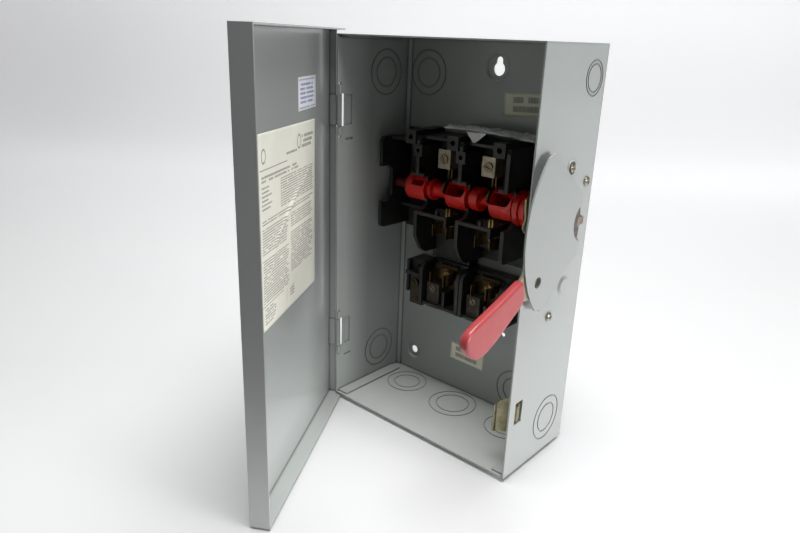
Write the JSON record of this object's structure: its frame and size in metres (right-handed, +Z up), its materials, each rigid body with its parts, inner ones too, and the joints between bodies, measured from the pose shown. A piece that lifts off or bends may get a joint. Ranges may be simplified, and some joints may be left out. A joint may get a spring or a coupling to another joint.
{
  "type": "side-operated disconnect switch in a sheet-metal enclosure",
  "caption": "Grey sheet-metal disconnect box with open hinged door, side handle with red grip, red switch rotor in a black moulded base, fuse clips and terminals.",
  "frame": {"origin": "centre of the large circle of the keyhole hanging slot, on the wall plane (rear face of the mounting dimples)", "axes": "+Z up, +Y into the wall (rear), +X to the right as seen from the front; the door opening faces -Y"},
  "size_m": [0.2404, 0.2954, 0.3791],
  "materials": {
    "grey_enamel": "grey baked enamel, semi-gloss",
    "plated_steel": "zinc plated",
    "chromate_steel": "yellow zinc chromate",
    "phenolic_black": "moulded phenolic, satin",
    "rotor_red": "moulded red thermoset, satin",
    "grip_red": "red vinyl dip, glossy",
    "copper_plated": "tin plated copper",
    "copper": "bare copper",
    "lug_metal": "tin plated aluminium",
    "brass": "plain",
    "spring_steel": "oiled spring wire",
    "label_stock": "printed paper, satin",
    "sticker_stock": "white printed sticker",
    "bag_film": "clear film bag"
  },
  "bodies": {
    "enclosure": {"back_pan": "grey_enamel", "left_side_panel": "grey_enamel", "right_side_panel": "grey_enamel", "hinge_pins": "plated_steel", "line_label": "label_stock", "load_label": "label_stock", "switch_base": "phenolic_black", "base_screws": "plated_steel", "line_jaws": "copper", "line_lugs": "lug_metal", "line_lug_screws": "plated_steel", "load_jaws": "copper", "upper_fuse_clips": "brass", "upper_clip_screws": "plated_steel", "left_fuse_block": "phenolic_black", "right_fuse_block": "phenolic_black", "block_screws": "plated_steel", "load_straps": "copper_plated", "load_lugs": "lug_metal", "load_lug_screws": "plated_steel", "lower_fuse_clips": "brass", "lower_clip_screws": "brass", "neutral_block": "phenolic_black", "neutral_lug": "lug_metal", "neutral_screws": "brass", "shaft_bushing": "chromate_steel", "mechanism_bracket": "plated_steel", "mechanism_screws": "chromate_steel", "toggle_spring": "spring_steel", "parts_bag": "bag_film"},
    "door": {"door_panel": "grey_enamel", "door_hinge_leaves": "grey_enamel", "instruction_label": "label_stock", "inspection_sticker": "sticker_stock"},
    "handle": {"drive_shaft": "brass", "handle_plate": "grey_enamel", "handle_lever": "chromate_steel", "handle_grip": "grip_red"},
    "rotor": {"rotor": "rotor_red", "rotor_blades": "copper_plated", "rotor_drive_plate": "chromate_steel"},
    "latch": {"door_latch": "chromate_steel"}
  },
  "joints": [
    {"name": "door_hinge", "type": "hinge", "parent": "enclosure", "child": "door", "pos_m": [-0.11125, -0.1012, -0.16], "axis": [0, 0, -1], "range_deg": [-58.5, 55]},
    {"name": "handle_pivot", "type": "hinge", "parent": "enclosure", "child": "handle", "pos_m": [0.113, -0.026, -0.1195], "axis": [-1, 0, 0], "range_deg": [0, 56]},
    {"name": "rotor_turn", "type": "hinge", "parent": "enclosure", "child": "rotor", "pos_m": [0, -0.026, -0.1195], "axis": [-1, 0, 0], "range_deg": [0, 62]},
    {"name": "latch_flex", "type": "hinge", "parent": "enclosure", "child": "latch", "pos_m": [0.10475, -0.054, -0.29], "axis": [0, 0, -1], "range_deg": [0, 3], "stiffness_Nm_per_rad": 2}
  ],
  "couplings": [
    {"joint": "rotor_turn", "follows": "handle_pivot", "ratio": 1.1071}
  ]
}
